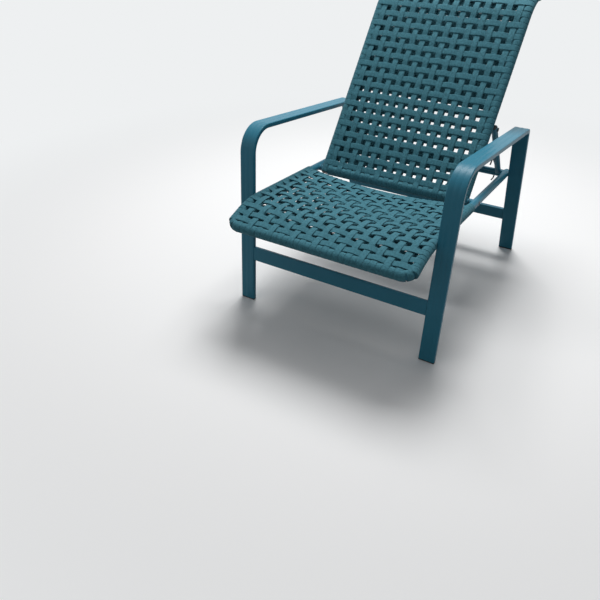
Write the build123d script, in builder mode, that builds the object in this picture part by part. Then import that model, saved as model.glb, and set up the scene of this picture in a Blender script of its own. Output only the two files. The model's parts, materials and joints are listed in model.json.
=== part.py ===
from build123d import *
import os
from math import cos, degrees, hypot, radians, sin, sqrt

os.makedirs("parts", exist_ok=True)

# A reclining garden armchair of bent aluminium bar and tube with a strap-woven seat and back.
# Lengths are in millimetres. X runs across the chair, the front faces -Y and +Z is up.
# Places in a side view are (y, z), with y measured from the front of the arm bend and z from
# the floor. The left side is the one at -X, on the left of someone who faces the chair.

# Side frames: one hollow flat bar each, bent into front leg, arm and rear leg
overall_width = 702
bar_width = 50
bar_thickness = 14
bar_wall = 2.2
bar_edge_radius = 3
bar_bore_radius = 1
rib_rise = 0.8
rib_count = 3
arm_front_height = 588
arm_rear_height = 516
arm_length = 650
front_foot_lead = 41
rear_foot_trail = 140
front_bend_radius = 73
rear_bend_radius = 11

# Foot glides, each with a plug in the open end of its leg
glide_height = 5
glide_chamfer = 1.2
glide_plug_length = 15
plug_clearance = 0.2

# Stretchers between the legs
stretcher_height = 47
stretcher_thickness = 12
stretcher_wall = 2
stretcher_edge_radius = 2.5
front_stretcher_top = 199
rear_stretcher_top = 182

# Seat tubes
tube_radius = 12.7
tube_wall = 2
weld_gap = 0.05
seat_front_reach = 152
seat_front_height = 340
knee_reach = 51
knee_height = 375
knee_radius = 250
front_corner_radius = 30
front_joint = 48
rail_end_place = 715
rail_end_height = 328
seat_back_place = 290
seat_dish = 23
cross_tube_place = 697
cap_thickness = 2.5
cap_edge_radius = 1.5
cap_plug_length = 10
back_plug_length = 6

# Woven straps: nets above and below the tubes, and wraps round them
strap_width = 19
strap_layer = 3.2
wrap_fit = 0.1
net_clearance = 0.2
dish_clearance = 1.7
wrap_relief = 2.5
seat_columns = 15
seat_column_pitch = 36.4
seat_row_places = (22, 51, 83, 121, 165, 208, 248, 287, 325, 361, 396, 427)
seat_sags = (
    (57, 7),
    (69, 8.5),
    (82, 10),
    (94, 11.3),
    (106, 12.5),
    (119, 13.8),
    (131, 15),
    (143, 16),
    (156, 17),
    (230, 18.5),
)
back_columns = 14
back_column_pitch = 35.2
back_rows = 20
back_first_row = 22
cut_overrun = 24

# Back frame
back_tube_place = 250
pivot_place = 357
recline_angle = 37.2
back_straight = 605
roll_radius = 130
roll_angle = 60

# Recline pivots: bosses on the rails and on the back, a washer between, a bolt and a nut
boss_radius = 10
rail_boss_reach = 5.5
washer_thickness = 1.5
washer_radius = 10
face_clearance = 0.3
bolt_radius = 5
bolt_fit = 0.1
bolt_head_radius = 7
bolt_head_depth = 5
bolt_socket_across = 6
bolt_socket_depth = 3
nut_across = 16
nut_thickness = 8

# Bail: two struts and a rod that props the back on the cross tube or in the racks
strut_place = 264.5
strut_radius = 10
strut_wall = 1.6
bail_rod_radius = 6
hinge_distance = 250
hinge_setback = 26
strut_head = 8
strut_toe = 5.3
strut_plug_depth = 3.5
bail_seat_angle = 38.4
lug_thickness = 6
lug_radius = 10
hinge_pin_radius = 4
hinge_pin_head_radius = 6.5
hinge_pin_head = 2.5
lug_wrap_clearance = 0.4

# Racks: notched plates that reach forward from the cross tube
rack_place = 150
rack_thickness = 5
rack_root_depth = 32
rack_tip_depth = 18
rack_nose = 9
rack_heel = 5
notches = ((52, 0.3), (116, 1.9), (175, 4.1))
notch_depth = 5
notch_wall_gap = 0.5
notch_ramp = 20

# Catches: spring wire bent round the back of the cross tube and up over the bail's rod
catch_place = 247
catch_radius = 2.5
catch_bend_radius = 9
catch_tail = 26
catch_drop = 27
catch_shoulder = 14
catch_tip_reach = 48
catch_tip_rise = 68
catch_lip_reach = 20
catch_lip_drop = 20

overrun = 30


def inset(points, distance):
    """An open run of (y, z) points, moved to the right of its direction of travel."""
    moved = []
    for index, point in enumerate(points):
        before = points[max(index - 1, 0)] if index else point
        after = points[min(index + 1, len(points) - 1)]
        arriving = unit(before, point) if index else unit(point, after)
        leaving = unit(point, after) if point != after else arriving
        normal_in = (arriving[1], -arriving[0])
        normal_out = (leaving[1], -leaving[0])
        share = 1 + normal_in[0] * normal_out[0] + normal_in[1] * normal_out[1]
        moved.append(
            (
                point[0] + distance * (normal_in[0] + normal_out[0]) / share,
                point[1] + distance * (normal_in[1] + normal_out[1]) / share,
            )
        )
    return moved


def unit(start, end):
    """Direction from one (y, z) point to another."""
    length = hypot(end[0] - start[0], end[1] - start[1])
    return ((end[0] - start[0]) / length, (end[1] - start[1]) / length)


def beyond(point, direction, distance):
    """The (y, z) point that lies a distance along a direction."""
    return (point[0] + distance * direction[0], point[1] + distance * direction[1])


def at_height(start, end, height):
    """The point of a sloping line that has the given height."""
    share = (height - start[1]) / (end[1] - start[1])
    return (start[0] + share * (end[0] - start[0]), height)


def at_depth(start, end, place):
    """The point of a line that lies the given way back."""
    share = (place - start[0]) / (end[0] - start[0])
    return (place, start[1] + share * (end[1] - start[1]))


# Side view of the seat rails: front tube, knee and rear end
seat_front = (-seat_front_reach, seat_front_height)
seat_knee = (-knee_reach, knee_height)
rail_end = (rail_end_place, rail_end_height)
ramp_direction = unit(seat_front, seat_knee)
rail_direction = unit(seat_knee, rail_end)
rail_place = overall_width / 2 - bar_width - tube_radius
pivot = at_depth(seat_knee, rail_end, pivot_place)
seat_back = at_depth(seat_knee, rail_end, seat_back_place)
cross_tube = at_depth(seat_knee, rail_end, cross_tube_place)
wrap_radius = tube_radius + strap_layer

# Side view of the back: straight up from the pivot, then rolled backwards
back_up = (sin(radians(recline_angle)), cos(radians(recline_angle)))
back_rear = (back_up[1], -back_up[0])
roll_start = beyond(pivot, back_up, back_straight)
roll_center = beyond(roll_start, back_rear, roll_radius)
roll_end_angle = radians(recline_angle + roll_angle)
back_top = (
    roll_center[0] - roll_radius * cos(roll_end_angle),
    roll_center[1] + roll_radius * sin(roll_end_angle),
)
back_top_direction = (sin(roll_end_angle), cos(roll_end_angle))
chair_middle = (back_top[0] + wrap_radius - seat_front_reach - wrap_radius) / 2


def at(x, point):
    """Where a side-view point lies in the chair's frame."""
    return Vector(x, point[0] - chair_middle, point[1])


def side_plane(x):
    """Plane across X with the side view's axes."""
    return Plane(origin=(x, -chair_middle, 0), x_dir=(0, 1, 0), z_dir=(1, 0, 0))


def facing(x, point, direction):
    """Plane square to a side-view direction, with its y axis on the left of travel."""
    return Plane(origin=at(x, point), x_dir=(1, 0, 0), z_dir=(0, -direction[0], -direction[1]))


def rod(start, end, radius):
    """Solid round bar from one point to another."""
    return Solid.make_cylinder(radius, (end - start).length, Plane(origin=start, z_dir=end - start))


def pipe(line, radius):
    """Solid round bar along a line."""
    with BuildPart() as bar:
        with BuildSketch(Plane(origin=line @ 0, z_dir=line % 0)):
            Circle(radius)
        sweep(path=line)
    return bar.part


def ring(line, outer, inner):
    """Ring square to the start of a line, to be swept along it."""
    with BuildSketch(Plane(origin=line @ 0, z_dir=line % 0)) as section:
        Circle(outer)
        Circle(inner, mode=Mode.SUBTRACT)
    return section.sketch


def finish(piece, name):
    """Names a piece and writes it out."""
    piece.part.label = name
    export_step(piece.part, f"parts/{name}.step")


sides = (("left", -1), ("right", 1))

# Side frames
bar_outside = [
    (-front_foot_lead, 0),
    (0, arm_front_height),
    (arm_length, arm_rear_height),
    (arm_length + rear_foot_trail, 0),
]
bar_run = inset(bar_outside, bar_thickness / 2)
front_leg_up = unit(bar_run[0], bar_run[1])
rear_leg_up = unit(bar_run[3], bar_run[2])
bar_path = [beyond(bar_run[0], front_leg_up, -overrun), *bar_run[1:3]]
bar_path.append(beyond(bar_run[3], rear_leg_up, -overrun))
leg_place = (overall_width - bar_width) / 2
rib_width = bar_width / rib_count
for side, sign in sides:
    with BuildPart() as side_frame:
        with BuildLine(side_plane(sign * leg_place)) as bar_line:
            FilletPolyline(*bar_path, radius=[front_bend_radius, rear_bend_radius])
        with BuildSketch(facing(sign * leg_place, bar_path[0], front_leg_up)):
            with BuildLine():
                for rib in range(rib_count):
                    left = rib * rib_width - bar_width / 2
                    face = bar_thickness / 2
                    SagittaArc((left, face), (left + rib_width, face), rib_rise)
                Polyline(
                    (bar_width / 2, bar_thickness / 2),
                    (bar_width / 2, -bar_thickness / 2),
                    (-bar_width / 2, -bar_thickness / 2),
                    (-bar_width / 2, bar_thickness / 2),
                )
            make_face()
            edge_corners = vertices().group_by(Axis.X)
            fillet(edge_corners[0] + edge_corners[-1], bar_edge_radius)
            RectangleRounded(
                bar_width - 2 * bar_wall,
                bar_thickness - 2 * bar_wall,
                bar_bore_radius,
                mode=Mode.SUBTRACT,
            )
        sweep(path=bar_line.line)
        split(bisect_by=Plane.XY.offset(glide_height), keep=Keep.TOP)
    finish(side_frame, f"side_frame_{side}")

# Foot glides
leg_ends = (("front", bar_run[0], front_leg_up), ("rear", bar_run[3], rear_leg_up))
for place, foot, leg_up in leg_ends:
    for side, sign in sides:
        sole = at_height(foot, beyond(foot, leg_up, glide_height), glide_height / 2)
        with BuildPart() as glide:
            with BuildSketch(Plane.XY):
                with Locations((sign * leg_place, sole[0] - chair_middle)):
                    RectangleRounded(bar_width, bar_thickness / leg_up[1], bar_edge_radius)
            extrude(amount=glide_height)
            chamfer(faces().sort_by(Axis.Z)[0].edges(), glide_chamfer)
            with BuildSketch(facing(sign * leg_place, sole, leg_up)):
                RectangleRounded(
                    bar_width - 2 * bar_wall - 2 * plug_clearance,
                    bar_thickness - 2 * bar_wall - 2 * plug_clearance,
                    bar_bore_radius,
                )
            extrude(amount=-glide_plug_length)
        finish(glide, f"{place}_glide_{side}")

# Stretchers
stretchers = (
    ("front_stretcher", bar_run[0], front_leg_up, front_stretcher_top),
    ("rear_stretcher", bar_run[3], rear_leg_up, rear_stretcher_top),
)
for name, foot, leg_up, top in stretchers:
    height = top - stretcher_height * leg_up[1] / 2
    middle = at_height(foot, beyond(foot, leg_up, overrun), height)
    with BuildPart() as stretcher:
        with BuildSketch(
            Plane(origin=at(0, middle), x_dir=(0, leg_up[0], leg_up[1]), z_dir=(1, 0, 0))
        ):
            RectangleRounded(stretcher_height, stretcher_thickness, stretcher_edge_radius)
            Rectangle(
                stretcher_height - 2 * stretcher_wall,
                stretcher_thickness - 2 * stretcher_wall,
                mode=Mode.SUBTRACT,
            )
        extrude(amount=overall_width / 2 - bar_width, both=True)
    finish(stretcher, name)

# Seat rails, each from the front joint over the knee to the rear leg
rail_start = beyond(seat_front, ramp_direction, front_joint)
for side, sign in sides:
    with BuildPart() as seat_rail:
        with BuildLine(side_plane(sign * rail_place)) as rail_line:
            FilletPolyline(rail_start, seat_knee, rail_end, radius=knee_radius)
        sweep(ring(rail_line.line, tube_radius, tube_radius - tube_wall), path=rail_line.line)
        add(
            rod(at(0, pivot), at(sign * rail_place, pivot), bolt_radius + bolt_fit),
            mode=Mode.SUBTRACT,
        )
        add(
            rod(
                at(sign * rail_place, pivot),
                at(sign * overall_width / 2, pivot),
                bolt_head_radius + bolt_fit,
            ),
            mode=Mode.SUBTRACT,
        )
    finish(seat_rail, f"seat_rail_{side}")

# Front tube, bent back at both ends to meet the rails
with BuildPart() as seat_front_tube:
    with BuildLine() as front_line:
        FilletPolyline(
            at(-rail_place, rail_start),
            at(-rail_place, seat_front),
            at(rail_place, seat_front),
            at(rail_place, rail_start),
            radius=front_corner_radius,
        )
    sweep(ring(front_line.line, tube_radius, tube_radius - tube_wall), path=front_line.line)
finish(seat_front_tube, "seat_front_tube")

# Rear seat tube, bowed down in the middle
rail_cuts = [
    rod(at(sign * rail_place, seat_knee), at(sign * rail_place, rail_end), tube_radius + weld_gap)
    for side, sign in sides
]
with BuildLine(Plane(origin=at(0, seat_back), x_dir=(1, 0, 0), z_dir=(0, -1, 0))) as bow_line:
    ThreePointArc((-rail_place, 0), (0, -seat_dish), (rail_place, 0))
with BuildPart() as seat_rear_tube:
    sweep(ring(bow_line.line, tube_radius, tube_radius - tube_wall), path=bow_line.line)
    add(rail_cuts, mode=Mode.SUBTRACT)
finish(seat_rear_tube, "seat_rear_tube")

# Rear cross tube between the rails
with BuildPart() as rear_cross_tube:
    with BuildSketch(side_plane(0)):
        with Locations(cross_tube):
            Circle(tube_radius)
            Circle(tube_radius - tube_wall, mode=Mode.SUBTRACT)
    extrude(amount=rail_place, both=True)
    add(rail_cuts, mode=Mode.SUBTRACT)
finish(rear_cross_tube, "rear_cross_tube")

# Caps in the open rear ends of the rails
with BuildPart() as rail_caps:
    for side, sign in sides:
        with BuildSketch(facing(sign * rail_place, rail_end, rail_direction)):
            Circle(tube_radius)
        extrude(amount=-cap_thickness)
        with BuildSketch(facing(sign * rail_place, rail_end, rail_direction)):
            Circle(tube_radius - tube_wall - plug_clearance)
        extrude(amount=cap_plug_length)
    rear_rims = edges().filter_by(GeomType.CIRCLE).group_by(Axis.Y)[-1]
    fillet(rear_rims, cap_edge_radius)
finish(rail_caps, "rail_caps")

# Strap wraps round the seat's tubes
net_margin = sqrt(wrap_radius**2 - tube_radius**2) + net_clearance
bore_radius = tube_radius + wrap_fit
bow_cut = pipe(bow_line.line, bore_radius)
leg_front = inset(bar_outside, -rib_rise - net_clearance)
leg_back = inset(bar_outside, bar_thickness + net_clearance)
for side, sign in sides:
    with BuildPart() as seat_side_wrap:
        with BuildLine(side_plane(sign * rail_place)) as rail_line:
            wrap_end = beyond(seat_back, rail_direction, wrap_radius)
            FilletPolyline(rail_start, seat_knee, wrap_end, radius=knee_radius)
        sweep(ring(rail_line.line, wrap_radius, bore_radius), path=rail_line.line)
        with BuildSketch(side_plane(sign * (overall_width / 2 - bar_width - wrap_relief))):
            Polygon(
                at_height(leg_front[0], leg_front[1], knee_height - overrun),
                at_height(leg_back[0], leg_back[1], knee_height - overrun),
                at_height(leg_back[0], leg_back[1], knee_height + overrun),
                at_height(leg_front[0], leg_front[1], knee_height + overrun),
                align=None,
            )
        extrude(amount=sign * overrun, mode=Mode.SUBTRACT)
        add(bow_cut, mode=Mode.SUBTRACT)
    finish(seat_side_wrap, f"seat_side_wrap_{side}")

with BuildPart() as seat_front_wrap:
    sweep(ring(front_line.line, wrap_radius, bore_radius), path=front_line.line)
finish(seat_front_wrap, "seat_front_wrap")

with BuildPart() as seat_rear_wrap:
    sweep(ring(bow_line.line, wrap_radius, bore_radius), path=bow_line.line)
    for side, sign in sides:
        add(
            rod(
                at(sign * rail_place, seat_knee),
                at(sign * rail_place, rail_end),
                wrap_radius + net_clearance,
            ),
            mode=Mode.SUBTRACT,
        )
finish(seat_rear_wrap, "seat_rear_wrap")

# Seat nets: hung between the side wraps, straight at the front tube, bowed with the rear one
net_front = beyond(seat_front, ramp_direction, net_margin)
net_half_width = rail_place - net_margin
seat_column_gap = seat_column_pitch - strap_width
edge_strap = (seat_columns - 1) * seat_column_pitch / 2 + strap_width / 2
edge_gap = rail_place - wrap_radius - edge_strap
with BuildLine(side_plane(0)) as seat_line:
    FilletPolyline(seat_front, seat_knee, seat_back, radius=knee_radius)
seat_run = seat_line.wire()
net_sags = (
    (net_margin, 0),
    *seat_sags,
    (seat_run.length - net_margin - dish_clearance, seat_dish),
)


def seat_square(distance, normal=False):
    """Plane square to the seat's side line, or one that lies along it."""
    place = seat_run.position_at(distance, position_mode=PositionMode.LENGTH)
    heading = seat_run.tangent_at(distance, position_mode=PositionMode.LENGTH)
    facing_up = (0, -heading.Z, heading.Y)
    return Plane(origin=place, x_dir=(1, 0, 0), z_dir=facing_up if normal else -heading)


def net_slice(distance, depth, low, high):
    """Slice across a layer of the seat's net, hung by a depth in the middle."""
    with BuildSketch(seat_square(distance)) as net_section:
        with BuildLine():
            for height in (low, high):
                ends = ((-net_half_width, height), (net_half_width, height))
                if depth:
                    ThreePointArc(ends[0], (0, height - depth), ends[1])
                else:
                    Line(*ends)
            Line((-net_half_width, low), (-net_half_width, high))
            Line((net_half_width, low), (net_half_width, high))
        make_face()
    return net_section.sketch


for layer, low, high in (("top", tube_radius, wrap_radius), ("bottom", -wrap_radius, -tube_radius)):
    with BuildPart() as seat_net:
        loft([net_slice(distance, depth, low, high) for distance, depth in net_sags], ruled=True)
        for row, next_row in zip(seat_row_places, seat_row_places[1:]):
            row_gap = next_row - row - strap_width
            with BuildSketch(seat_square((row + next_row) / 2, normal=True)):
                with GridLocations(seat_column_pitch, 0, seat_columns - 1, 1):
                    Rectangle(seat_column_gap, row_gap)
                with Locations((-edge_strap - edge_gap / 2, 0), (edge_strap + edge_gap / 2, 0)):
                    Rectangle(edge_gap, row_gap)
            extrude(amount=wrap_radius + cut_overrun, both=True, mode=Mode.SUBTRACT)
        corner = front_corner_radius - net_margin
        with BuildSketch(facing(0, net_front, (ramp_direction[1], -ramp_direction[0]))):
            for side, sign in sides:
                with Locations((sign * (net_half_width - corner / 2), corner / 2)):
                    Rectangle(corner, corner)
                with Locations((sign * (net_half_width - corner), corner)):
                    Circle(corner, mode=Mode.SUBTRACT)
        extrude(amount=cut_overrun, both=True, mode=Mode.SUBTRACT)
    finish(seat_net, f"seat_net_{layer}")

# Back side tubes, with a bore for the pivot and the roll at the top
def back_run(sign, reach):
    """Axis of a side tube that runs past the cross tubes by a reach at both ends."""
    with BuildLine(side_plane(sign * back_tube_place)) as run:
        straight = Line(beyond(pivot, back_up, -reach), roll_start)
        roll = JernArc(straight @ 1, straight % 1, roll_radius, -roll_angle)
        Line(roll @ 1, (roll @ 1) + (roll % 1) * reach)
    return run.line


back_cuts = [pipe(back_run(sign, overrun), tube_radius + weld_gap) for side, sign in sides]
back_wrap_cuts = [
    pipe(back_run(sign, overrun), wrap_radius + net_clearance) for side, sign in sides
]
for side, sign in sides:
    with BuildPart() as back_tube:
        line = back_run(sign, tube_radius)
        sweep(ring(line, tube_radius, tube_radius - tube_wall), path=line)
        add(
            rod(at(0, pivot), at(sign * rail_place, pivot), bolt_radius + bolt_fit),
            mode=Mode.SUBTRACT,
        )
    finish(back_tube, f"back_tube_{side}")

# Back cross tubes, coped to the side tubes
for name, place in (("back_bottom_tube", pivot), ("back_top_tube", back_top)):
    with BuildPart() as back_cross_tube:
        with BuildSketch(side_plane(0)):
            with Locations(place):
                Circle(tube_radius)
                Circle(tube_radius - tube_wall, mode=Mode.SUBTRACT)
        extrude(amount=back_tube_place, both=True)
        add(back_cuts, mode=Mode.SUBTRACT)
    finish(back_cross_tube, name)

# Caps in the open ends of the back's side tubes
with BuildPart() as back_caps:
    for side, sign in sides:
        line = back_run(sign, tube_radius)
        for end, heading in ((line @ 0, line % 0), (line @ 1, -(line % 1))):
            with BuildSketch(Plane(origin=end, z_dir=heading)):
                Circle(tube_radius)
            extrude(amount=-cap_thickness)
            with BuildSketch(Plane(origin=end, z_dir=heading)):
                Circle(tube_radius - tube_wall - plug_clearance)
            extrude(amount=back_plug_length)
finish(back_caps, "back_caps")

# Hinge point of the bail, behind the back's side tubes
hinge_root = beyond(pivot, back_up, hinge_distance)
hinge = beyond(hinge_root, back_rear, hinge_setback)

# Strap wraps round the back's tubes
boss_cut_radius = boss_radius + lug_wrap_clearance
for side, sign in sides:
    with BuildPart() as back_side_wrap:
        line = back_run(sign, tube_radius)
        sweep(ring(line, wrap_radius, bore_radius), path=line)
        for start, end, radius in (
            (at(0, pivot), at(sign * back_tube_place, pivot), bore_radius + wrap_fit),
            (at(sign * back_tube_place, pivot), at(sign * rail_place, pivot), boss_cut_radius),
            (at(0, back_top), at(sign * back_tube_place, back_top), bore_radius + wrap_fit),
        ):
            add(rod(start, end, radius), mode=Mode.SUBTRACT)
        with BuildSketch(side_plane(sign * back_tube_place)):
            with Locations(Location((*hinge, 0), (0, 0, -recline_angle))):
                Rectangle(
                    2 * hinge_setback,
                    2 * (lug_radius + lug_wrap_clearance),
                )
        extrude(amount=lug_thickness / 2 + lug_wrap_clearance, both=True, mode=Mode.SUBTRACT)
    finish(back_side_wrap, f"back_side_wrap_{side}")

for name, place in (("back_bottom_wrap", pivot), ("back_top_wrap", back_top)):
    with BuildPart() as back_cross_wrap:
        with BuildSketch(side_plane(0)):
            with Locations(place):
                Circle(wrap_radius)
                Circle(bore_radius, mode=Mode.SUBTRACT)
        extrude(amount=back_tube_place, both=True)
        add(back_wrap_cuts, mode=Mode.SUBTRACT)
    finish(back_cross_wrap, name)

# Back nets, one in front of the tubes and one behind them
with BuildLine(side_plane(0)) as back_line:
    straight = Line(pivot, roll_start)
    JernArc(straight @ 1, straight % 1, roll_radius, -roll_angle)
back_length = back_line.wire().length
back_row_pitch = (back_length - 2 * back_first_row) / (back_rows - 1)
net_roll_angle = roll_angle - degrees(net_margin / (roll_radius - wrap_radius))
for layer, near, far in (("front", -tube_radius, -wrap_radius), ("rear", wrap_radius, tube_radius)):
    with BuildPart() as back_net:
        with BuildSketch(side_plane(0)):
            with BuildLine():
                ends = []
                for offset in (near, far):
                    start = beyond(beyond(pivot, back_up, net_margin), back_rear, offset)
                    stop = beyond(roll_start, back_rear, offset)
                    panel = Line(start, stop)
                    bend = JernArc(panel @ 1, panel % 1, roll_radius - offset, -net_roll_angle)
                    ends.append((panel @ 0, bend @ 1))
                Line(ends[0][0], ends[1][0])
                Line(ends[0][1], ends[1][1])
            make_face()
        extrude(amount=back_tube_place - net_margin, both=True)
        for gap in range(back_rows - 1):
            center = back_first_row + (gap + 0.5) * back_row_pitch
            place = back_line.wire().position_at(center, position_mode=PositionMode.LENGTH)
            heading = back_line.wire().tangent_at(center, position_mode=PositionMode.LENGTH)
            with BuildSketch(Plane(origin=place, x_dir=(1, 0, 0), z_dir=(0, -heading.Z, heading.Y))):
                with GridLocations(back_column_pitch, 0, back_columns - 1, 1):
                    Rectangle(back_column_pitch - strap_width, back_row_pitch - strap_width)
            extrude(amount=cut_overrun, both=True, mode=Mode.SUBTRACT)
    finish(back_net, f"back_net_{layer}")

# Recline pivots
pivot_gap = rail_place - back_tube_place - 2 * tube_radius
back_boss_reach = pivot_gap - rail_boss_reach - washer_thickness - 2 * face_clearance
rail_boss_face = rail_place - tube_radius - rail_boss_reach
washer_face = rail_boss_face - face_clearance
back_boss_face = washer_face - washer_thickness - face_clearance
for side, sign in sides:
    with BuildPart() as rail_boss:
        with BuildSketch(side_plane(sign * rail_boss_face)):
            with Locations(pivot):
                Circle(boss_radius)
                Circle(bolt_radius + bolt_fit, mode=Mode.SUBTRACT)
        extrude(amount=sign * (rail_boss_reach + tube_radius))
        add(rail_cuts, mode=Mode.SUBTRACT)
    finish(rail_boss, f"rail_boss_{side}")

    with BuildPart() as back_boss:
        with BuildSketch(side_plane(sign * back_boss_face)):
            with Locations(pivot):
                Circle(boss_radius)
                Circle(bolt_radius + bolt_fit, mode=Mode.SUBTRACT)
        extrude(amount=-sign * (back_boss_reach + tube_radius))
        add(back_cuts, mode=Mode.SUBTRACT)
    finish(back_boss, f"back_boss_{side}")

nut_face = back_tube_place - tube_radius - face_clearance
with BuildPart() as pivot_washers:
    for side, sign in sides:
        with BuildSketch(side_plane(sign * washer_face)):
            with Locations(pivot):
                Circle(washer_radius)
                Circle(bolt_radius + bolt_fit, mode=Mode.SUBTRACT)
        extrude(amount=-sign * washer_thickness)
finish(pivot_washers, "pivot_washers")

with BuildPart() as pivot_bolts:
    for side, sign in sides:
        head_face = rail_place + tube_radius
        with BuildSketch(side_plane(sign * head_face)):
            with Locations(pivot):
                Circle(bolt_head_radius)
        extrude(amount=-sign * bolt_head_depth)
        with BuildSketch(side_plane(sign * head_face)):
            with Locations(pivot):
                Circle(bolt_radius)
        extrude(amount=-sign * (head_face - nut_face + nut_thickness))
        with BuildSketch(side_plane(sign * head_face)):
            with Locations(pivot):
                RegularPolygon(bolt_socket_across / 2, 6, major_radius=False)
        extrude(amount=-sign * bolt_socket_depth, mode=Mode.SUBTRACT)
finish(pivot_bolts, "pivot_bolts")

with BuildPart() as pivot_nuts:
    for side, sign in sides:
        with BuildSketch(side_plane(sign * nut_face)):
            with Locations(pivot):
                RegularPolygon(nut_across / 2, 6, major_radius=False)
                Circle(bolt_radius, mode=Mode.SUBTRACT)
        extrude(amount=-sign * nut_thickness)
finish(pivot_nuts, "pivot_nuts")

# Bail: the struts' feet and the rod rest on the front of the cross tube
bail_contact = (-cos(radians(bail_seat_angle)), sin(radians(bail_seat_angle)))
bail_foot = beyond(cross_tube, bail_contact, tube_radius + bail_rod_radius + face_clearance)
strut_down = unit(hinge, bail_foot)
strut_top = beyond(hinge, strut_down, -strut_head)
strut_bottom = beyond(bail_foot, strut_down, strut_toe)
for side, sign in sides:
    with BuildPart() as strut:
        with BuildLine(side_plane(sign * strut_place)) as strut_line:
            Line(strut_top, strut_bottom)
        sweep(ring(strut_line.line, strut_radius, strut_radius - strut_wall), path=strut_line.line)
        add(
            rod(
                at(0, hinge),
                at(sign * overall_width / 2, hinge),
                hinge_pin_radius + bolt_fit,
            ),
            mode=Mode.SUBTRACT,
        )
    finish(strut, f"bail_strut_{side}")

with BuildPart() as bail_rod:
    with BuildSketch(side_plane(0)):
        with Locations(bail_foot):
            Circle(bail_rod_radius)
    extrude(amount=strut_place, both=True)
    for side, sign in sides:
        add(
            rod(
                at(sign * strut_place, strut_top),
                at(sign * strut_place, beyond(strut_bottom, strut_down, overrun)),
                strut_radius,
            ),
            mode=Mode.SUBTRACT,
        )
finish(bail_rod, "bail_rod")

with BuildPart() as strut_plugs:
    for side, sign in sides:
        with BuildSketch(facing(sign * strut_place, strut_top, strut_down)):
            Circle(strut_radius - strut_wall - plug_clearance)
        extrude(amount=-strut_plug_depth)
finish(strut_plugs, "strut_plugs")

# Lugs on the back's side tubes and the pins that carry the struts
for side, sign in sides:
    with BuildPart() as hinge_lug:
        with BuildSketch(side_plane(sign * back_tube_place)):
            with Locations(hinge):
                Circle(lug_radius)
            with Locations(
                Location((*beyond(hinge_root, back_rear, hinge_setback / 2), 0), (0, 0, -recline_angle))
            ):
                Rectangle(hinge_setback, 2 * lug_radius)
            with Locations(hinge):
                Circle(hinge_pin_radius, mode=Mode.SUBTRACT)
        extrude(amount=lug_thickness / 2, both=True)
        add(back_cuts, mode=Mode.SUBTRACT)
    finish(hinge_lug, f"hinge_lug_{side}")

with BuildPart() as hinge_pins:
    for side, sign in sides:
        inner_face = back_tube_place - lug_thickness / 2
        outer_face = strut_place + strut_radius + face_clearance
        with BuildSketch(side_plane(sign * inner_face)):
            with Locations(hinge):
                Circle(hinge_pin_radius)
        extrude(amount=sign * (outer_face - inner_face))
        for face, reach in ((inner_face, -sign), (outer_face, sign)):
            with BuildSketch(side_plane(sign * face)):
                with Locations(hinge):
                    Circle(hinge_pin_head_radius)
            extrude(amount=reach * hinge_pin_head)
finish(hinge_pins, "hinge_pins")

# Racks: level on top under the bail's rod, with saw notches that face forwards
rack_top = bail_foot[1] - bail_rod_radius - face_clearance
rack_outline = [(cross_tube_place + rack_heel, rack_top)]
tooth_top = rack_top
for reach, rise in notches:
    wall = bail_foot[0] - reach + bail_rod_radius + notch_wall_gap
    floor_end = wall - 2 * (bail_rod_radius + notch_wall_gap)
    rack_outline += [(wall, tooth_top), (wall, rack_top + rise - notch_depth)]
    tooth_top = rack_top + rise
    rack_outline += [(floor_end, tooth_top - notch_depth), (floor_end - notch_ramp, tooth_top)]
rack_outline += [
    (floor_end - notch_ramp - rack_nose, tooth_top),
    (floor_end - notch_ramp - rack_nose, rack_top - rack_tip_depth),
    (cross_tube_place + rack_heel, rack_top - rack_root_depth),
]
cross_tube_cut = rod(at(-rail_place, cross_tube), at(rail_place, cross_tube), tube_radius)
for side, sign in sides:
    with BuildPart() as rack:
        with BuildSketch(side_plane(sign * rack_place)):
            Polygon(*rack_outline, align=None)
        extrude(amount=rack_thickness / 2, both=True)
        add(cross_tube_cut, mode=Mode.SUBTRACT)
    finish(rack, f"rack_{side}")

# Catches
catch_back = cross_tube[0] + tube_radius + catch_radius + net_clearance
catch_tip = (cross_tube[0] - catch_tip_reach, cross_tube[1] + catch_tip_rise)
catch_run = [
    (cross_tube[0] - catch_tail / 2, cross_tube[1] - catch_drop),
    (catch_back, cross_tube[1] - catch_drop),
    (catch_back, cross_tube[1] + catch_shoulder),
    catch_tip,
    (catch_tip[0] - catch_lip_reach, catch_tip[1] - catch_lip_drop),
]
for side, sign in sides:
    with BuildPart() as catch:
        with BuildLine(side_plane(sign * catch_place)) as catch_line:
            FilletPolyline(*catch_run, radius=catch_bend_radius)
        with BuildSketch(Plane(origin=catch_line.line @ 0, z_dir=catch_line.line % 0)):
            Circle(catch_radius)
        sweep(path=catch_line.line)
    finish(catch, f"catch_{side}")
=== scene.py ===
import json
from math import atan2, cos, hypot, pi, radians, sin, tan

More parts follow.
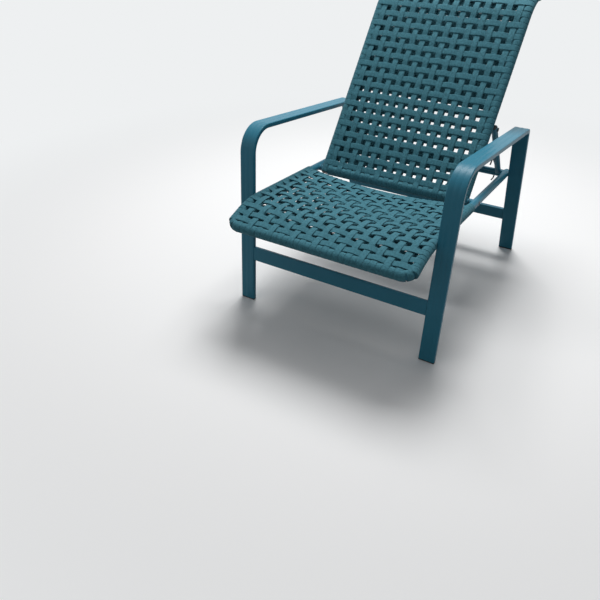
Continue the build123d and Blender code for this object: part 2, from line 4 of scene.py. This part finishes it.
import bmesh
import bpy
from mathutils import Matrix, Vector


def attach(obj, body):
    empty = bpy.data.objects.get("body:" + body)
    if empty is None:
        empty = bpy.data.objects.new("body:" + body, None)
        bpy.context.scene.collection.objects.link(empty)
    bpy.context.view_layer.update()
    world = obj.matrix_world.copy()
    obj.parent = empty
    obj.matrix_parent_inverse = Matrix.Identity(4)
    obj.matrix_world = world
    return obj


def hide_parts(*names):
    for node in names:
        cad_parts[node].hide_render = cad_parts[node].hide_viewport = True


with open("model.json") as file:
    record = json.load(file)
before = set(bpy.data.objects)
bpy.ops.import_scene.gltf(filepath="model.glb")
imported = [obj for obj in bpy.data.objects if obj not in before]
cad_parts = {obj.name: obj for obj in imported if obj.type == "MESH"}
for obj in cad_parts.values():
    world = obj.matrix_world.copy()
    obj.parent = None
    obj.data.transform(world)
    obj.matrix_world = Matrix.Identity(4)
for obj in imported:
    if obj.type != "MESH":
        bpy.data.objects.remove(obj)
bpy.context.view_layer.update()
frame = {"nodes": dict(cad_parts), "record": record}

# Sizes are in millimetres and places as (y, z) in the side view, as in the part's source:
# y from the front of the arm bend, z from the floor. MM turns them into Blender's metres.
MM = 0.001

# Straps: their cross-section, and the levels of their runs over the axes of the tubes
strap_width = 19
strap_thickness = 2.0
strap_squareness = 0.35
strap_side_squareness = 0.6
profile_points = 16
weave_level = 14.4
wrap_level = 14.9
seat_cross_lift = 2.3
seat_long_lift = 1.3
back_lift = 1.1
crossing_flat = strap_width / 3
run_step = 4.5
half_turn_points = 14
wrap_gap = 0.4
least_bare_stretch = 1

# Seat: its side line from the front tube over the knee to the back's foot, and its straps
seat_front = (-152, 340)
seat_knee = (-51, 375)
rail_end = (715, 328)
knee_radius = 250
rail_place = 288.3
front_corner_radius = 30
seat_back_place = 290
seat_columns = 15
seat_column_pitch = 36.4
seat_row_places = (22, 51, 83, 121, 165, 208, 248, 287, 325, 361, 396, 427)
seat_wrap_margin = 15.9
corner_wrap_reach = 4
corner_bands = 3

# How far the middle of the seat hangs below its rails at distances along the side line
seat_sags = (
    (10, 0),
    (57, 7),
    (69, 8.5),
    (82, 10),
    (94, 11.3),
    (106, 12.5),
    (119, 13.8),
    (131, 15),
    (143, 16),
    (156, 17),
    (230, 18.5),
    (432, 23),
)

# Front leg, which slants back from foot to arm. The seat's side wrap is pressed flat where the
# leg stands, from just before its front face to just behind its rear one.
front_foot_lead = 41
arm_front_height = 588
pressed_face = 300.8
pressed_from = -2
pressed_to = 16.5

# Back: its side line from the pivot over the roll, and its straps
pivot_place = 357
recline_angle = radians(37.2)
back_tube_place = 250
back_straight = 605
roll_radius = 130
roll_angle = radians(60)
back_columns = 14
back_column_pitch = 35.2
back_rows = 20
back_first_row = 22
back_wrap_reach = 12.5
back_wrap_margin = 12.7

# How far the lower run of each cross strap of the seat lies behind its upper run, and how far
# the lower runs of the long straps lie to the right of their upper runs, at either side
seat_row_drifts = (16, 8, 13, 12, -8, -6, 5, 10, 10, 13, 12, 10)
seat_column_drifts = ((-rail_place, -20), (-144, -15), (0, -12), (rail_place, 0))

# How far the rear run of each of the back's cross straps lies above its front run, at either
# side, and how far the rear runs of the long straps lie to the right of their front runs
back_drifts_left = (
    *(0, -11, -10, -9.5, -9, -4.5, -4, -2.5, 0, -6.8),
    *(-6.3, -5.8, -5.2, -4.7, -4.1, -3.5, -2.3, 7, -11, 0),
)
back_drifts_right = (
    *(0, 3.5, -4, -8.5, 4, 0, 2.5, 4, -5, -6.8),
    *(-6.3, -5.8, -5.2, -4.7, -4.1, -3.5, -2.3, 7, -11, 0),
)
back_column_drift = -4

# How far from the rims the drifts set in, and the way over which they grow to their full size
drift_start = 8
drift_run = 24

# The straps lie double round the back's bottom tube, which makes it thicker by a share
bottom_swell = 0.2

# The camera as fitted to the photograph
camera_place = (745.11, -1431.22, 1169.50)
camera_azimuth = 31.74
camera_pitch = 34.01
camera_focal_share = 608.65 / 600
sensor_width = 36


def unit(start, end):
    """Direction from one (y, z) place to another."""
    length = hypot(end[0] - start[0], end[1] - start[1])
    return ((end[0] - start[0]) / length, (end[1] - start[1]) / length)


def beyond(place, direction, distance):
    """The (y, z) place that lies a distance along a direction."""
    return (place[0] + distance * direction[0], place[1] + distance * direction[1])


def turned(direction, angle):
    """A (y, z) direction turned clockwise, from up towards the rear."""
    return (
        direction[0] * cos(angle) + direction[1] * sin(angle),
        direction[1] * cos(angle) - direction[0] * sin(angle),
    )


ramp_direction = unit(seat_front, seat_knee)
rail_direction = unit(seat_knee, rail_end)
ramp_length = hypot(seat_knee[0] - seat_front[0], seat_knee[1] - seat_front[1])
knee_turn = atan2(ramp_direction[1], ramp_direction[0]) - atan2(
    rail_direction[1], rail_direction[0]
)
knee_tangent = knee_radius * tan(knee_turn / 2)
knee_arc = knee_radius * knee_turn
knee_start = ramp_length - knee_tangent


def on_rail(place):
    """The rail's axis at a way back."""
    share = (place - seat_knee[0]) / (rail_end[0] - seat_knee[0])
    return (place, seat_knee[1] + share * (rail_end[1] - seat_knee[1]))


pivot = on_rail(pivot_place)
seat_back = on_rail(seat_back_place)
seat_length = (
    knee_start
    + knee_arc
    + hypot(seat_back[0] - seat_knee[0], seat_back[1] - seat_knee[1])
    - knee_tangent
)
back_up = (sin(recline_angle), cos(recline_angle))
back_length = back_straight + roll_radius * roll_angle
roll_start = beyond(pivot, back_up, back_straight)
back_end = (
    roll_start[0] + roll_radius * (cos(recline_angle) - cos(recline_angle + roll_angle)),
    roll_start[1] + roll_radius * (sin(recline_angle + roll_angle) - sin(recline_angle)),
)
chair_middle = (back_end[0] + seat_front[0]) / 2
back_row_pitch = (back_length - 2 * back_first_row) / (back_rows - 1)
back_row_places = [back_first_row + index * back_row_pitch for index in range(back_rows)]
back_left = list(zip(back_row_places, back_drifts_left))
back_right = list(zip(back_row_places, back_drifts_right))
seat_drifts = list(zip(seat_row_places, seat_row_drifts))


def along_seat(distance):
    """Place and heading on the seat's side line, from the front tube to the rear."""
    if distance < knee_start:
        return beyond(seat_front, ramp_direction, distance), ramp_direction
    if distance > knee_start + knee_arc:
        rest = distance - knee_start - knee_arc + knee_tangent
        return beyond(seat_knee, rail_direction, rest), rail_direction
    angle = (distance - knee_start) / knee_radius
    start = beyond(seat_front, ramp_direction, knee_start)
    heading = turned(ramp_direction, angle)
    chord = turned(ramp_direction, angle / 2)
    return beyond(start, chord, 2 * knee_radius * sin(angle / 2)), heading


def along_back(distance):
    """Place and heading on the back's side line, from the pivot over the roll."""
    if distance < back_straight:
        return beyond(pivot, back_up, distance), back_up
    angle = (distance - back_straight) / roll_radius
    over = max(angle - roll_angle, 0)
    angle = min(angle, roll_angle)
    chord = turned(back_up, angle / 2)
    place = beyond(roll_start, chord, 2 * roll_radius * sin(angle / 2))
    heading = turned(back_up, angle)
    return beyond(place, heading, over * roll_radius), heading


def smooth(share):
    """Eases a share from 0 to 1."""
    share = min(max(share, 0), 1)
    return share * share * (3 - 2 * share)


def between(table, place):
    """Reads a table of (place, value) pairs between its entries."""
    for (low, value), (high, next_value) in zip(table, table[1:]):
        if place <= high:
            break
    share = min(max((place - low) / (high - low), 0), 1)
    return value + (next_value - value) * share


def seat_drop(x, distance):
    """How far the seat hangs below its rails: none at the front tube, most at the rear one."""
    return between(seat_sags, distance) * max(1 - (x / rail_place) ** 2, 0)


def behind(height, *rims):
    """Share by which a point on a strap shifts: none at the rims and in front, all behind."""
    inward = smooth((min(rims) - drift_start) / drift_run)
    return inward * min(max((1 - height / weave_level) / 2, 0), 1)


def seat_point(x, distance, height):
    """A point of the seat: across, along the side line and above the tubes' axes."""
    share = behind(height, rail_place - abs(x), distance, seat_length - distance)
    distance += share * between(seat_drifts, distance)
    x += share * between(seat_column_drifts, x)
    place, heading = along_seat(distance)
    height -= seat_drop(x, distance)
    return Vector(
        (
            x * MM,
            (place[0] - heading[1] * height - chair_middle) * MM,
            (place[1] + heading[0] * height) * MM,
        )
    )


def back_point(x, distance, height):
    """A point of the back: across, up the side line and in front of the tubes' axes."""
    swell = 1 + bottom_swell * smooth(1 - distance / strap_width)
    height *= swell
    distance = distance * swell if distance < 0 else distance
    share = behind(height, back_tube_place - abs(x), distance, back_length - distance)
    left = (1 - x / back_tube_place) / 2
    distance += share * (
        between(back_left, distance) * left + between(back_right, distance) * (1 - left)
    )
    x += share * back_column_drift
    place, heading = along_back(distance)
    return Vector(
        (
            x * MM,
            (place[0] - heading[1] * height - chair_middle) * MM,
            (place[1] + heading[0] * height) * MM,
        )
    )


def weave(places, first):
    """Over and under heights along a strap that crosses others at the places."""

    def height(place):
        if place <= places[0]:
            return first * smooth(1 - (places[0] - place - crossing_flat) / strap_width)
        for index in range(len(places) - 1):
            if place <= places[index + 1]:
                side = first if index % 2 == 0 else -first
                gap = places[index + 1] - places[index]
                share = (place - places[index] - crossing_flat) / max(gap - 2 * crossing_flat, 1)
                return side * (1 - 2 * smooth(share))
        side = first if len(places) % 2 == 1 else -first
        return side * smooth(1 - (place - places[-1] - crossing_flat) / strap_width)

    return height


def loop(place, start, end, top=None, bottom=None, lift=0):
    """Points of a strap that goes round two tubes, or round one where start is end."""
    points = []
    runs = max(round((end - start) / run_step), 0)
    for direction, wave, center, other in ((1, top, end, start), (-1, bottom, start, end)):
        if runs:
            for index in range(runs + 1):
                along = other + (center - other) * index / runs
                edge = min(abs(along - start), abs(along - end))
                level = wrap_level + (weave_level - wrap_level) * smooth(edge / strap_width)
                points.append(place(along, direction * (level + lift * wave(along))))
        for index in range(1 if runs else 0, half_turn_points):
            angle = pi / 2 - pi * index / half_turn_points
            points.append(
                place(
                    center + direction * wrap_level * cos(angle),
                    direction * wrap_level * sin(angle),
                )
            )
    return points


def across(line, distance):
    """Maps a strap that runs across the chair, at a distance along a side line."""
    return lambda along, height: line(along, distance, height)


def lengthwise(line, x):
    """Maps a strap that runs along a side line, at a place across the chair."""
    return lambda along, height: line(x, along, height)


def node(tree, kind, links=(), **settings):
    """Adds a node with its settings; links pairs an input with a socket or a value."""
    made = tree.nodes.new(kind)
    for name, value in settings.items():
        setattr(made, name, value)
    for name, value in links:
        if isinstance(value, bpy.types.NodeSocket):
            tree.links.new(value, made.inputs[name])
        else:
            made.inputs[name].default_value = value
    return made


def maths(tree, operation, *values):
    """Adds a maths node and gives its result."""
    made = node(tree, "ShaderNodeMath", list(enumerate(values)), operation=operation)
    return made.outputs[0]


def strap_tree():
    """Geometry Nodes that give each line of a mesh a flat strap's cross-section."""
    tree = bpy.data.node_groups.new("strap_along_lines", "GeometryNodeTree")
    face = tree.interface
    face.new_socket("Lines", in_out="INPUT", socket_type="NodeSocketGeometry")
    for name in ("Strap Width", "Strap Thickness", "Crown", "Side Crown"):
        face.new_socket(name, in_out="INPUT", socket_type="NodeSocketFloat")
    face.new_socket("Webbing", in_out="INPUT", socket_type="NodeSocketMaterial")
    face.new_socket("Straps", in_out="OUTPUT", socket_type="NodeSocketGeometry")
    start = node(tree, "NodeGroupInput")
    outward = node(
        tree, "GeometryNodeInputNamedAttribute", [("Name", "outward")], data_type="FLOAT_VECTOR"
    )
    line = node(tree, "GeometryNodeMeshToCurve", [("Mesh", start.outputs["Lines"])])
    line = node(
        tree,
        "GeometryNodeSetCurveNormal",
        [("Curve", line.outputs["Curve"]), ("Normal", outward.outputs["Attribute"])],
        mode="FREE",
    )
    run = node(tree, "GeometryNodeSplineParameter")
    line = node(
        tree,
        "GeometryNodeStoreNamedAttribute",
        [
            ("Geometry", line.outputs["Curve"]),
            ("Name", "run"),
            ("Value", run.outputs["Length"]),
        ],
        data_type="FLOAT",
        domain="POINT",
    )
    outline = node(
        tree,
        "GeometryNodeCurvePrimitiveCircle",
        [("Resolution", profile_points), ("Radius", 1)],
        mode="RADIUS",
    )
    spot = node(tree, "GeometryNodeInputPosition")
    spot = node(tree, "ShaderNodeSeparateXYZ", [("Vector", spot.outputs["Position"])])
    sides = []
    for axis, size, crown in (
        ("X", "Strap Thickness", "Crown"),
        ("Y", "Strap Width", "Side Crown"),
    ):
        side = maths(tree, "SIGN", spot.outputs[axis])
        reach = maths(tree, "ABSOLUTE", spot.outputs[axis])
        reach = maths(tree, "POWER", reach, start.outputs[crown])
        reach = maths(tree, "MULTIPLY", reach, side)
        half = maths(tree, "MULTIPLY", start.outputs[size], 0.5)
        sides.append(maths(tree, "MULTIPLY", reach, half))
    spot = node(tree, "ShaderNodeCombineXYZ", [("X", sides[0]), ("Y", sides[1])])
    outline = node(
        tree,
        "GeometryNodeSetPosition",
        [("Geometry", outline.outputs["Curve"]), ("Position", spot.outputs["Vector"])],
    )
    outline = node(
        tree,
        "GeometryNodeStoreNamedAttribute",
        [
            ("Geometry", outline.outputs["Geometry"]),
            ("Name", "width"),
            ("Value", sides[1]),
        ],
        data_type="FLOAT",
        domain="POINT",
    )
    straps = node(
        tree,
        "GeometryNodeCurveToMesh",
        [
            ("Curve", line.outputs["Geometry"]),
            ("Profile Curve", outline.outputs["Geometry"]),
        ],
    )
    straps = node(tree, "GeometryNodeRealizeInstances", [("Geometry", straps.outputs["Mesh"])])
    straps = node(
        tree,
        "GeometryNodeSetMaterial",
        [
            ("Geometry", straps.outputs["Geometry"]),
            ("Material", start.outputs["Webbing"]),
        ],
    )
    node(tree, "NodeGroupOutput", [("Straps", straps.outputs["Geometry"])])
    return tree


straps_along_lines = strap_tree()


def socket_id(tree, name):
    """Identifier of a tree's named input."""
    return next(item.identifier for item in tree.interface.items_tree if item.name == name)


def straps(name, lines, material, width=strap_width, tight=None):
    """Makes one piece of closed strap loops. Each line is (points, width direction), and
    tight moves the points of the finished mesh."""
    mesh = bpy.data.meshes.new(name)
    places, edges, normals = [], [], []
    for points, sideways in lines:
        first, count = len(places), len(points)
        for index, point in enumerate(points):
            heading = points[(index + 1) % count] - points[index - 1]
            normals.append(heading.cross(sideways).normalized())
            edges.append((first + index, first + (index + 1) % count))
        places += points
    mesh.from_pydata(places, edges, [])
    outward = mesh.attributes.new("outward", "FLOAT_VECTOR", "POINT")
    outward.data.foreach_set("vector", [value for normal in normals for value in normal])
    piece = bpy.data.objects.new(name, mesh)
    bpy.context.scene.collection.objects.link(piece)
    modifier = piece.modifiers.new("straps", "NODES")
    modifier.node_group = straps_along_lines
    for label, value in (
        ("Strap Width", width * MM),
        ("Strap Thickness", strap_thickness * MM),
        ("Crown", strap_squareness),
        ("Side Crown", strap_side_squareness),
        ("Webbing", material),
    ):
        modifier[socket_id(straps_along_lines, label)] = value
    bpy.context.view_layer.update()
    shown = piece.evaluated_get(bpy.context.evaluated_depsgraph_get())
    made = bpy.data.meshes.new_from_object(shown)
    piece.modifiers.clear()
    piece.data = made
    made.name = name
    if tight:
        for vertex in made.vertices:
            vertex.co = tight(vertex.co)
    add_strap_uv(made)
    form = bmesh.new()
    form.from_mesh(made)
    bmesh.ops.recalc_face_normals(form, faces=form.faces)
    form.to_mesh(made)
    form.free()
    made.shade_smooth()
    return piece


def add_strap_uv(mesh):
    """Lays a map in metres along and across each strap from the stored run and width. The
    faces that close a loop go on past its end, not back to its start."""
    seam = 50 * MM
    run = mesh.attributes["run"].data
    width = mesh.attributes["width"].data
    layer = mesh.uv_layers.new(name="strap")
    for polygon in mesh.polygons:
        runs = [run[index].value for index in polygon.vertices]
        closing = max(runs) - min(runs) > seam
        for corner, index in zip(polygon.loop_indices, polygon.vertices):
            value = run[index].value
            if closing and value < seam:
                value = max(runs) + run_step * MM
            layer.data[corner].uv = (value, width[index].value)


def linear(code):
    """Linear colour from an sRGB hex code."""
    values = [int(code[index : index + 2], 16) / 255 for index in (1, 3, 5)]
    return [v / 12.92 if v <= 0.04045 else ((v + 0.055) / 1.055) ** 2.4 for v in values] + [1]


def new_material(name):
    """An empty material with its shader and its tree."""
    material = bpy.data.materials.new(name)
    material.use_nodes = True
    return material, material.node_tree, material.node_tree.nodes["Principled BSDF"]


def grain(tree, size, detail):
    """Noise in a thing's own space, with grains of a size."""
    where = node(tree, "ShaderNodeTexCoord")
    noise = node(
        tree,
        "ShaderNodeTexNoise",
        [("Vector", where.outputs["Object"]), ("Scale", 1 / (size * MM)), ("Detail", detail)],
    )
    return noise.outputs["Fac"]


def waves(tree, place, pitch):
    """A sine wave along a place in metres, with a pitch."""
    return maths(tree, "SINE", maths(tree, "MULTIPLY", place, 2 * pi / (pitch * MM)))


def relief(tree, shader, height, strength, depth):
    """Bumps a surface by a height, one of which stands for a depth."""
    bump = node(
        tree,
        "ShaderNodeBump",
        [("Height", height), ("Strength", strength), ("Distance", depth * MM)],
    )
    tree.links.new(bump.outputs["Normal"], shader.inputs["Normal"])


def tint(tree, shader, share, dark, light):
    """Colours a surface between two tones by a share."""
    tone = node(
        tree,
        "ShaderNodeMix",
        [("Factor", share), (6, linear(dark)), (7, linear(light))],
        data_type="RGBA",
    )
    tree.links.new(tone.outputs[2], shader.inputs["Base Color"])


# Powder-coated aluminium: an even satin coat with a faint orange peel
powder_coat, tree, shader = new_material("powder_coated_aluminium_teal")
tint(tree, shader, grain(tree, size=90, detail=2), "#2f748a", "#337d96")
relief(tree, shader, grain(tree, size=2.5, detail=1.5), strength=0.12, depth=0.1)
shader.inputs["Roughness"].default_value = 0.38
shader.inputs["Specular IOR Level"].default_value = 0.2

# Woven webbing: ribbed along its length, soft at the edges. The ribs are 3.2 mm apart,
# twice the real spacing, so that they show.
webbing, tree, shader = new_material("woven_acrylic_webbing_teal")
strap_map = node(tree, "ShaderNodeUVMap", uv_map="strap")
strap_map = node(tree, "ShaderNodeSeparateXYZ", [("Vector", strap_map.outputs["UV"])])
ribs = waves(tree, strap_map.outputs["Y"], pitch=3.2)
threads = waves(tree, strap_map.outputs["X"], pitch=2.4)
relief(tree, shader, maths(tree, "ADD", ribs, threads), strength=0.5, depth=0.25)
tint(tree, shader, grain(tree, size=5, detail=4), "#194955", "#5191a1")
shader.inputs["Roughness"].default_value = 0.8
shader.inputs["Specular IOR Level"].default_value = 0.2
shader.inputs["Sheen Weight"].default_value = 0.06
shader.inputs["Sheen Roughness"].default_value = 0.5

# Moulded nylon: glides, caps, plugs and washers
nylon, tree, shader = new_material("moulded_nylon_black")
relief(tree, shader, grain(tree, size=1, detail=2), strength=0.2, depth=0.05)
shader.inputs["Base Color"].default_value = linear("#1c1e20")
shader.inputs["Roughness"].default_value = 0.55

# Vinyl-dipped wire: smooth, a little glossy
vinyl, tree, shader = new_material("vinyl_dipped_wire_black")
relief(tree, shader, grain(tree, size=6, detail=1), strength=0.15, depth=0.2)
shader.inputs["Base Color"].default_value = linear("#121416")
shader.inputs["Roughness"].default_value = 0.32

# Blackened steel: bolts, nuts and pins, finely turned
dark_steel, tree, shader = new_material("blackened_steel")
relief(tree, shader, grain(tree, size=0.8, detail=3), strength=0.1, depth=0.05)
shader.inputs["Base Color"].default_value = linear("#3c4448")
shader.inputs["Metallic"].default_value = 1
shader.inputs["Roughness"].default_value = 0.45

finish_of_slot = {
    "frame_paint": powder_coat,
    "strap": webbing,
    "black_plastic": nylon,
    "coated_wire": vinyl,
    "fastener_steel": dark_steel,
}
for entry in frame["record"]["subparts"]:
    shape = frame["nodes"][entry["node"]]
    shape.data.materials.clear()
    shape.data.materials.append(finish_of_slot[entry["material_slot"]])


def columns(count, pitch):
    """Places of long straps across the chair, even about its middle."""
    return [(index - (count - 1) / 2) * pitch for index in range(count)]


seat_column_places = columns(seat_columns, seat_column_pitch)
back_column_places = columns(back_columns, back_column_pitch)
sideways = Vector((1, 0, 0))
leg_slope = front_foot_lead / arm_front_height


def beside_leg(point):
    """Presses the seat's side wrap flat where the front leg stands against it."""
    depth = point.y / MM + chair_middle + front_foot_lead - leg_slope * point.z / MM
    if abs(point.x) > pressed_face * MM and pressed_from < depth < pressed_to:
        pressed = pressed_face * MM if point.x > 0 else -pressed_face * MM
        return Vector((pressed, point.y, point.z))
    return point


def heading_of(line, distance):
    """Heading of a side line as a vector."""
    direction = line(distance)[1]
    return Vector((0, direction[0], direction[1]))


def cross_straps(name, point, line, rows, reach, crossed, lift, tight=None):
    """Makes the straps that run from side tube to side tube at the rows, over and under
    the long straps that they cross."""
    made = []
    for index, row in enumerate(rows):
        first = 1 if index % 2 == 0 else -1
        top, bottom = weave(crossed, first), weave(crossed, -first)
        points = loop(across(point, row), -reach, reach, top, bottom, lift)
        made.append((points, heading_of(line, row)))
    return straps(name, made, webbing, tight=tight)


def long_straps(name, point, places, length, crossed, lift):
    """Makes the straps that run along the side line at places across the chair, under and
    over the cross straps."""
    made = []
    for index, place in enumerate(places):
        first = -1 if index % 2 == 0 else 1
        top, bottom = weave(crossed, first), weave(crossed, -first)
        points = loop(lengthwise(point, place), 0, length, top, bottom, lift)
        made.append((points, -sideways))
    return straps(name, made, webbing)


def bands(low, high):
    """Even places and one width for wraps that fill a stretch of tube."""
    count = max(round((high - low) / strap_width), 1)
    width = (high - low) / count
    return [low + (high - low) * (index + 0.5) / count for index in range(count)], width


def gaps_between(places, low, high):
    """Stretches of a tube that the straps at the places leave bare."""
    edges = [low]
    edges += [place + side * strap_width / 2 for place in places for side in (-1, 1)]
    edges.append(high)
    pairs = zip(edges[0::2], edges[1::2])
    return [pair for pair in pairs if pair[1] - pair[0] > least_bare_stretch]


def side_stretches(point, line, rows, low, high, reach):
    """Wraps round both side tubes where the rows leave them bare."""
    made = []
    for stretch in gaps_between(rows, low, high):
        places, width = bands(*stretch)
        lines = [
            (loop(across(point, place), side * reach, side * reach), heading_of(line, place))
            for place in places
            for side in (-1, 1)
        ]
        made.append((lines, width))
    return made


def end_stretches(point, center, crossed, reach):
    """Wraps round the tube at one end of a side line where the long straps leave it bare."""
    made = []
    for stretch in gaps_between(crossed, -reach, reach):
        places, width = bands(*stretch)
        lines = [
            (loop(lengthwise(point, place), center, center), -sideways) for place in places
        ]
        made.append((lines, width))
    return made


def corner_stretch():
    """Wraps round the seat's two front corners."""
    step = pi / 2 / corner_bands
    lines = []
    for side in (-1, 1):
        for index in range(corner_bands):
            angle = (index + 0.5) * step

            def on_corner(along, height, side=side, angle=angle):
                reach = front_corner_radius + along
                return seat_point(
                    side * (half_front + reach * sin(angle)),
                    front_corner_radius - reach * cos(angle),
                    height,
                )

            heading = heading_of(along_seat, 0) * sin(angle)
            heading.x = side * cos(angle)
            lines.append((loop(on_corner, 0, 0), -side * heading))
    return lines, (front_corner_radius + corner_wrap_reach) * step


def wraps(name, stretches, tight=None):
    """Makes one piece of straps wound round tubes. A stretch is (lines, width)."""
    made = [
        straps(f"{name}_{index}", lines, webbing, width - wrap_gap, tight)
        for index, (lines, width) in enumerate(stretches)
    ]
    with bpy.context.temp_override(
        active_object=made[0], object=made[0], selected_editable_objects=made
    ):
        bpy.ops.object.join()
    made[0].name = name
    made[0].data.name = name
    return made[0]


# Seat straps
seat_cross_straps = cross_straps(
    "seat_cross_straps",
    seat_point,
    along_seat,
    seat_row_places,
    rail_place,
    seat_column_places,
    seat_cross_lift,
    tight=beside_leg,
)
seat_long_straps = long_straps(
    "seat_long_straps",
    seat_point,
    seat_column_places,
    seat_length,
    seat_row_places,
    seat_long_lift,
)
half_front = rail_place - front_corner_radius
seat_wraps = wraps(
    "seat_wraps",
    [
        *side_stretches(
            seat_point,
            along_seat,
            seat_row_places,
            front_corner_radius,
            seat_length + seat_wrap_margin,
            rail_place,
        ),
        *end_stretches(seat_point, 0, seat_column_places, half_front),
        *end_stretches(
            seat_point, seat_length, seat_column_places, rail_place - seat_wrap_margin
        ),
        corner_stretch(),
    ],
    tight=beside_leg,
)

# Back straps
back_cross_straps = cross_straps(
    "back_cross_straps",
    back_point,
    along_back,
    back_row_places,
    back_tube_place,
    back_column_places,
    back_lift,
)
back_long_straps = long_straps(
    "back_long_straps",
    back_point,
    back_column_places,
    back_length,
    back_row_places,
    back_lift,
)
back_end_reach = back_tube_place - back_wrap_margin
back_wraps = wraps(
    "back_wraps",
    [
        *side_stretches(
            back_point,
            along_back,
            back_row_places,
            -back_wrap_reach,
            back_length + back_wrap_reach,
            back_tube_place,
        ),
        *end_stretches(back_point, 0, back_column_places, back_end_reach),
        *end_stretches(back_point, back_length, back_column_places, back_end_reach),
    ],
)

for piece, body, hidden in (
    (seat_cross_straps, "frame", ("seat_net_top", "seat_net_bottom")),
    (seat_long_straps, "frame", ("seat_net_top", "seat_net_bottom")),
    (
        seat_wraps,
        "frame",
        ("seat_front_wrap", "seat_side_wrap_left", "seat_side_wrap_right", "seat_rear_wrap"),
    ),
    (back_cross_straps, "back", ("back_net_front", "back_net_rear")),
    (back_long_straps, "back", ("back_net_front", "back_net_rear")),
    (
        back_wraps,
        "back",
        ("back_side_wrap_left", "back_side_wrap_right", "back_bottom_wrap", "back_top_wrap"),
    ),
):
    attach(piece, body)
    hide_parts(*hidden)

# Floor, in metres, which fades to the pale backdrop away from the chair
backdrop = "#eef0f1"
floor_near = 0.9
floor_far = 2.4
floor_reach = 9


def seen_directly(tree):
    """One where the eye looks at a thing, also in a mirror or through glass, else zero."""
    path = node(tree, "ShaderNodeLightPath")
    either = maths(
        tree, "MAXIMUM", path.outputs["Is Camera Ray"], path.outputs["Is Glossy Ray"]
    )
    return maths(tree, "MAXIMUM", either, path.outputs["Is Transmission Ray"])


floor_mesh = bpy.data.meshes.new("floor")
floor_corners = [(-1, -1), (1, -1), (1, 1), (-1, 1)]
floor_mesh.from_pydata(
    [(x * floor_reach, y * floor_reach, 0) for x, y in floor_corners], [], [(0, 1, 2, 3)]
)
floor = bpy.data.objects.new("floor", floor_mesh)
bpy.context.scene.collection.objects.link(floor)
pale_floor, tree, shader = new_material("matt_painted_floor")
shader.inputs["Roughness"].default_value = 0.8
tint(tree, shader, seen_directly(tree), "#8c8c8c", "#fafafa")
where = node(tree, "ShaderNodeTexCoord")
far = node(tree, "ShaderNodeVectorMath", [(0, where.outputs["Object"])], operation="LENGTH")
far = node(
    tree,
    "ShaderNodeMapRange",
    [
        ("Value", far.outputs["Value"]),
        ("From Min", floor_near),
        ("From Max", floor_far),
    ],
    interpolation_type="SMOOTHSTEP",
)
faded = maths(tree, "MULTIPLY", far.outputs["Result"], seen_directly(tree))
white = node(tree, "ShaderNodeEmission", [("Color", linear(backdrop)), ("Strength", 1)])
mixed = node(
    tree,
    "ShaderNodeMixShader",
    [(0, faded), (1, shader.outputs["BSDF"]), (2, white.outputs["Emission"])],
)
tree.links.new(mixed.outputs["Shader"], tree.nodes["Material Output"].inputs["Surface"])
floor_mesh.materials.append(pale_floor)

# Light: one wide soft box overhead and a weaker one in front, in a pale room. Each lamp has
# its place and size in metres and its power in watts, and looks at the seat.
light_aim = Vector((0, 0, 0.4))
world = bpy.data.worlds.new("pale_room")
bpy.context.scene.world = world
world.use_nodes = True
tree = world.node_tree
sky = tree.nodes["Background"]
sky.inputs["Color"].default_value = linear("#f4f6f8")
sky.inputs["Strength"].default_value = 0.25
white = node(tree, "ShaderNodeBackground", [("Color", linear(backdrop)), ("Strength", 1)])
mixed = node(
    tree,
    "ShaderNodeMixShader",
    [
        (0, seen_directly(tree)),
        (1, sky.outputs["Background"]),
        (2, white.outputs["Background"]),
    ],
)
tree.links.new(mixed.outputs["Shader"], tree.nodes["World Output"].inputs["Surface"])
for name, place, size, power in (
    ("overhead_soft_box", (-0.4, 1.0, 3.1), 1.5, 92),
    ("front_soft_box", (-1.6, -2.6, 1.9), 1.8, 5),
):
    lamp = bpy.data.lights.new(name, "AREA")
    lamp.size = size
    lamp.energy = power
    holder = bpy.data.objects.new(name, lamp)
    holder.location = place
    aim = light_aim - holder.location
    holder.rotation_euler = aim.to_track_quat("-Z", "Y").to_euler()
    bpy.context.scene.collection.objects.link(holder)

# Camera
lens = bpy.data.cameras.new("camera")
lens.sensor_width = sensor_width
lens.lens = sensor_width * camera_focal_share
camera = bpy.data.objects.new("camera", lens)
camera.location = (
    camera_place[0] * MM,
    (camera_place[1] - chair_middle) * MM,
    camera_place[2] * MM,
)
camera.rotation_euler = (radians(90 - camera_pitch), 0, radians(camera_azimuth))
bpy.context.scene.collection.objects.link(camera)
bpy.context.scene.camera = camera
bpy.context.scene.view_settings.view_transform = "Standard"
